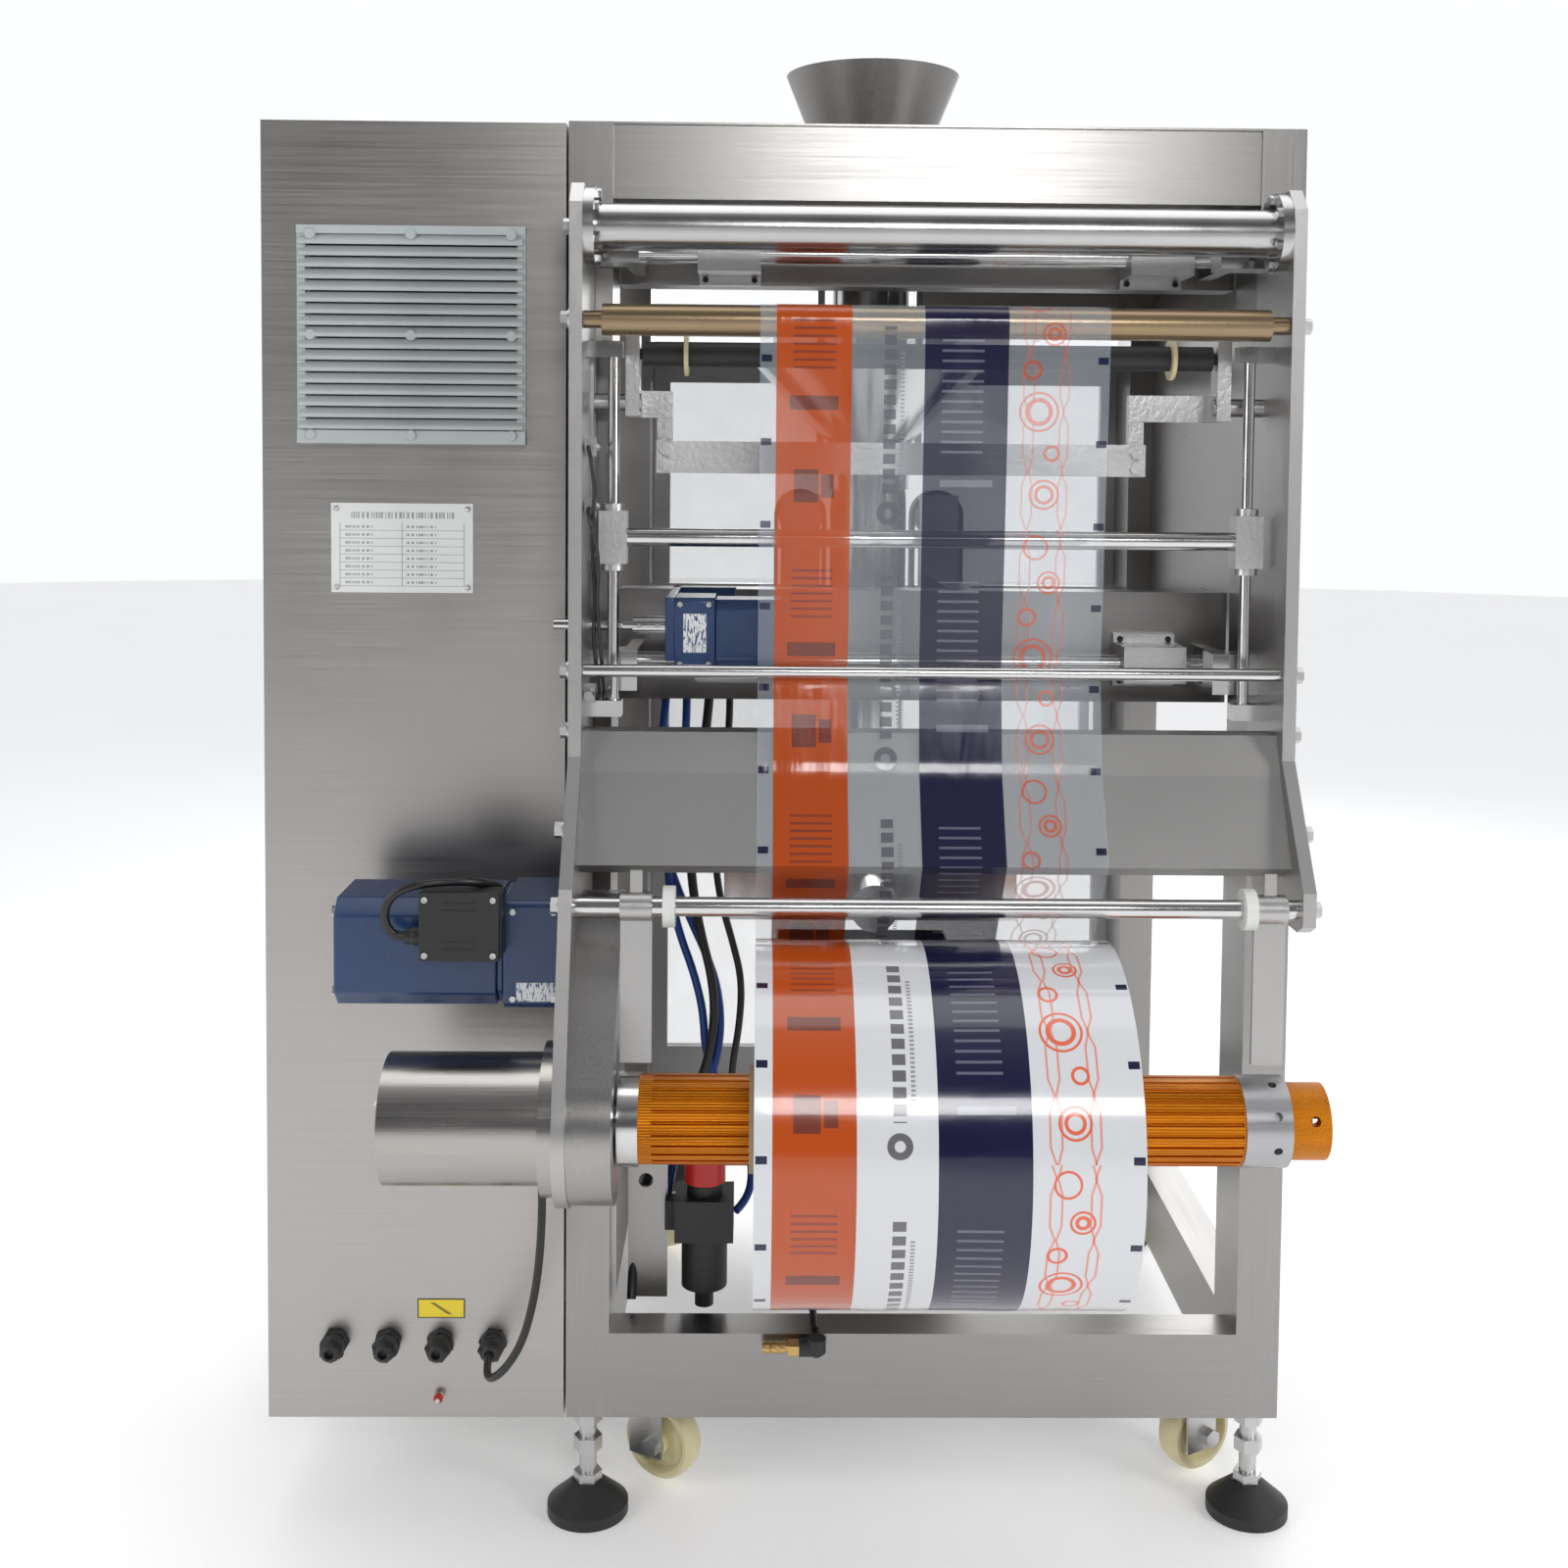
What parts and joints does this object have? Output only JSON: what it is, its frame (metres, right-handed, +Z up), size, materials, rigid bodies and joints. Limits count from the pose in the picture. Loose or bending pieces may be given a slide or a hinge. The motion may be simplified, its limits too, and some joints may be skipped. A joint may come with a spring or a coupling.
{
  "type": "vertical form fill sealer",
  "caption": "Stainless vertical bagging machine: cabinet, sliding film carriage with printed reel and rollers, funnel, forming tube, sealing jaws, guard door, feet and casters.",
  "frame": {"origin": "on the floor under the middle of the machine's box", "axes": "+Z up, -Y towards the film side, +Y towards the operator, +X to the right seen from the film side"},
  "size_m": [0.956, 1.0334, 1.426],
  "materials": {
    "brushed_stainless": "brushed stainless sheet and tube",
    "cabinet_stainless": "brushed stainless cabinet sheet",
    "bright_bar": "ground and plated bar",
    "light_grey_plastic": "moulded grille",
    "black_plastic": "moulded black nylon",
    "zinc_steel": "zinc plated steel",
    "cream_nylon": "cast nylon",
    "bronze_anodised": "bronze anodised",
    "dark_rubber": "ground black rubber",
    "clear_anodised": "clear anodised",
    "gold_anodised": "orange gold anodised extrusion",
    "motor_blue": "deep blue enamel",
    "beadblast_steel": "bead blasted stainless",
    "printed_film": "printed clear film",
    "black_lead": "PVC lead",
    "belt_black": "timing belt",
    "brass_jaw": "brass sealing face",
    "red_plastic": "moulded red",
    "green_plastic": "moulded green",
    "air_fitting": "cast and painted aluminium",
    "guard_frame": "anodised frame with clear pane"
  },
  "bodies": {
    "machine": {"frame_posts": "brushed_stainless", "frame_rails": "brushed_stainless", "frame_panels": "brushed_stainless", "cabinet_shell": "cabinet_stainless", "cabinet_vent": "light_grey_plastic", "cable_glands": "black_plastic", "control_gear": "light_grey_plastic", "levelling_feet": "zinc_steel", "bearing_blocks": "clear_anodised", "tracking_motor": "motor_blue", "air_service_set": "air_fitting", "product_funnel": "brushed_stainless", "forming_set": "brushed_stainless", "pull_belts": "belt_black", "jaw_guides": "bright_bar", "discharge_chute": "brushed_stainless", "operator_box": "brushed_stainless", "brake_lead": "black_lead"},
    "film_carriage": {"side_plate_left": "brushed_stainless", "side_plate_right": "brushed_stainless", "top_tube": "bright_bar", "plate_screws": "brushed_stainless", "slant_panel": "beadblast_steel", "low_rod": "bright_bar", "guide_shafts": "bright_bar", "sensor_set": "brushed_stainless", "unwind_motor": "motor_blue", "belt_cover": "brushed_stainless", "brake_housing": "brushed_stainless", "film_web": "printed_film"},
    "gold_roller": {"gold_roller": "bronze_anodised"},
    "thin_roller": {"thin_roller": "bright_bar"},
    "dancer": {"dancer_arm": "clear_anodised"},
    "dancer_roller": {"dancer_roller": "dark_rubber"},
    "tension_bar": {"tension_bar": "clear_anodised"},
    "film_shaft": {"air_shaft": "gold_anodised", "film_reel": "printed_film"},
    "shaft_knob": {"shaft_knob": "gold_anodised"},
    "swing_arm_left": {"swing_arm_left": "brushed_stainless"},
    "swing_arm_right": {"swing_arm_right": "brushed_stainless"},
    "tracking_screw": {"tracking_screw": "bright_bar"},
    "regulator_knob": {"regulator_knob": "red_plastic"},
    "belt_pulley_left": {"belt_pulley_left": "clear_anodised"},
    "belt_pulley_right": {"belt_pulley_right": "clear_anodised"},
    "jaw_rear": {"jaw_rear": "brass_jaw"},
    "jaw_front": {"jaw_front": "brass_jaw"},
    "vertical_sealer": {"vertical_sealer": "brass_jaw"},
    "guard_door": {"guard_door": "guard_frame"},
    "emergency_stop": {"emergency_stop": "red_plastic"},
    "start_button": {"start_button": "green_plastic"},
    "main_switch": {"main_switch": "black_plastic"},
    "cabinet_door": {"cabinet_door": "cabinet_stainless"},
    "caster_fork_rear_left": {"caster_fork_rear_left": "zinc_steel"},
    "caster_wheel_rear_left": {"caster_wheel_rear_left": "cream_nylon"},
    "caster_fork_rear_right": {"caster_fork_rear_right": "zinc_steel"},
    "caster_wheel_rear_right": {"caster_wheel_rear_right": "cream_nylon"},
    "caster_fork_front_left": {"caster_fork_front_left": "zinc_steel"},
    "caster_wheel_front_left": {"caster_wheel_front_left": "cream_nylon"},
    "caster_fork_front_right": {"caster_fork_front_right": "zinc_steel"},
    "caster_wheel_front_right": {"caster_wheel_front_right": "cream_nylon"}
  },
  "joints": [
    {"name": "carriage_shift", "type": "slide", "parent": "machine", "child": "film_carriage", "axis": [1, 0, 0], "range_m": [-0.01, 0.01]},
    {"name": "tracking_turn", "type": "hinge", "parent": "machine", "child": "tracking_screw", "pos_m": [-0.163, -0.23625, 0.843], "axis": [1, 0, 0], "range_deg": [-1800, 1800]},
    {"name": "gold_spin", "type": "hinge", "parent": "film_carriage", "child": "gold_roller", "pos_m": [0.119, -0.30425, 1.107], "axis": [1, 0, 0], "continuous": true},
    {"name": "thin_spin", "type": "hinge", "parent": "film_carriage", "child": "thin_roller", "pos_m": [0.119, -0.30425, 0.81], "axis": [1, 0, 0], "continuous": true},
    {"name": "dancer_swing", "type": "hinge", "parent": "film_carriage", "child": "dancer", "pos_m": [0.119, -0.23025, 1.04], "axis": [1, 0, 0], "range_deg": [-10, 10]},
    {"name": "dancer_spin", "type": "hinge", "parent": "dancer", "child": "dancer_roller", "pos_m": [0.119, -0.23025, 1.083], "axis": [1, 0, 0], "continuous": true},
    {"name": "tension_slide", "type": "slide", "parent": "film_carriage", "child": "tension_bar", "axis": [0, 0, 1], "range_m": [-0.04, 0.11]},
    {"name": "film_unwind", "type": "hinge", "parent": "film_carriage", "child": "film_shaft", "pos_m": [0.119, -0.37075, 0.4465], "axis": [1, 0, 0], "continuous": true},
    {"name": "knob_turn", "type": "hinge", "parent": "film_shaft", "child": "shaft_knob", "pos_m": [0.422, -0.37075, 0.4465], "axis": [1, 0, 0], "range_deg": [0, 270]},
    {"name": "arm_swing_left", "type": "hinge", "parent": "film_carriage", "child": "swing_arm_left", "pos_m": [-0.128, -0.36825, 0.623], "axis": [1, 0, 0], "range_deg": [-100, 20]},
    {"name": "arm_swing_right", "type": "hinge", "parent": "film_carriage", "child": "swing_arm_right", "pos_m": [0.394, -0.36825, 0.623], "axis": [1, 0, 0], "range_deg": [-100, 20]},
    {"name": "regulator_turn", "type": "hinge", "parent": "machine", "child": "regulator_knob", "pos_m": [-0.077, -0.13125, 0.31], "axis": [0, 0, 1], "range_deg": [-360, 360]},
    {"name": "belt_drive_right", "type": "hinge", "parent": "machine", "child": "belt_pulley_right", "pos_m": [0.173, 0.22975, 0.93], "axis": [0, 1, 0], "continuous": true},
    {"name": "belt_drive_left", "type": "hinge", "parent": "machine", "child": "belt_pulley_left", "pos_m": [0.017, 0.22975, 0.93], "axis": [0, 1, 0], "continuous": true},
    {"name": "jaw_rear_stroke", "type": "slide", "parent": "machine", "child": "jaw_rear", "axis": [0, 1, 0], "range_m": [0, 0.0255]},
    {"name": "jaw_front_stroke", "type": "slide", "parent": "machine", "child": "jaw_front", "axis": [0, 1, 0], "range_m": [-0.0255, 0]},
    {"name": "vertical_seal_stroke", "type": "slide", "parent": "machine", "child": "vertical_sealer", "axis": [0, -1, 0], "range_m": [0, 0.005]},
    {"name": "guard_door_swing", "type": "hinge", "parent": "machine", "child": "guard_door", "pos_m": [-0.193, 0.44875, 0.66], "axis": [0, 0, 1], "range_deg": [0, 110]},
    {"name": "emergency_stop_press", "type": "slide", "parent": "machine", "child": "emergency_stop", "axis": [0, -1, 0], "range_m": [0, 0.004], "stiffness_N_per_m": 900},
    {"name": "start_press", "type": "slide", "parent": "machine", "child": "start_button", "axis": [0, -1, 0], "range_m": [0, 0.003], "stiffness_N_per_m": 600},
    {"name": "main_switch_turn", "type": "hinge", "parent": "machine", "child": "main_switch", "pos_m": [0.377, 0.49175, 1.192], "axis": [0, 1, 0], "range_deg": [0, 90]},
    {"name": "cabinet_door_swing", "type": "hinge", "parent": "machine", "child": "cabinet_door", "pos_m": [-0.472, 0.24075, 0.66], "axis": [0, 0, 1], "range_deg": [0, 120]},
    {"name": "swivel_rear_left", "type": "hinge", "parent": "machine", "child": "caster_fork_rear_left", "pos_m": [-0.131, -0.12425, 0.085], "axis": [0, 0, 1], "continuous": true},
    {"name": "wheel_rear_left", "type": "hinge", "parent": "caster_fork_rear_left", "child": "caster_wheel_rear_left", "pos_m": [-0.11541, -0.13325, 0.045], "axis": [-0.5, -0.866, 0], "continuous": true},
    {"name": "swivel_rear_right", "type": "hinge", "parent": "machine", "child": "caster_fork_rear_right", "pos_m": [0.389, -0.12425, 0.085], "axis": [0, 0, 1], "continuous": true},
    {"name": "wheel_rear_right", "type": "hinge", "parent": "caster_fork_rear_right", "child": "caster_wheel_rear_right", "pos_m": [0.40459, -0.11525, 0.045], "axis": [0.5, -0.866, 0], "continuous": true},
    {"name": "swivel_front_left", "type": "hinge", "parent": "machine", "child": "caster_fork_front_left", "pos_m": [-0.131, 0.36375, 0.085], "axis": [0, 0, 1], "continuous": true},
    {"name": "wheel_front_left", "type": "hinge", "parent": "caster_fork_front_left", "child": "caster_wheel_front_left", "pos_m": [-0.13716, 0.38066, 0.045], "axis": [0.9397, 0.342, 0], "continuous": true},
    {"name": "swivel_front_right", "type": "hinge", "parent": "machine", "child": "caster_fork_front_right", "pos_m": [0.389, 0.36375, 0.085], "axis": [0, 0, 1], "continuous": true},
    {"name": "wheel_front_right", "type": "hinge", "parent": "caster_fork_front_right", "child": "caster_wheel_front_right", "pos_m": [0.38284, 0.34684, 0.045], "axis": [-0.9397, 0.342, 0], "continuous": true}
  ],
  "couplings": [
    {"joint": "tracking_turn", "follows": "carriage_shift", "rad_per_m": 3141.6},
    {"joint": "belt_drive_left", "follows": "belt_drive_right", "ratio": -1},
    {"joint": "jaw_front_stroke", "follows": "jaw_rear_stroke", "ratio": -1}
  ]
}
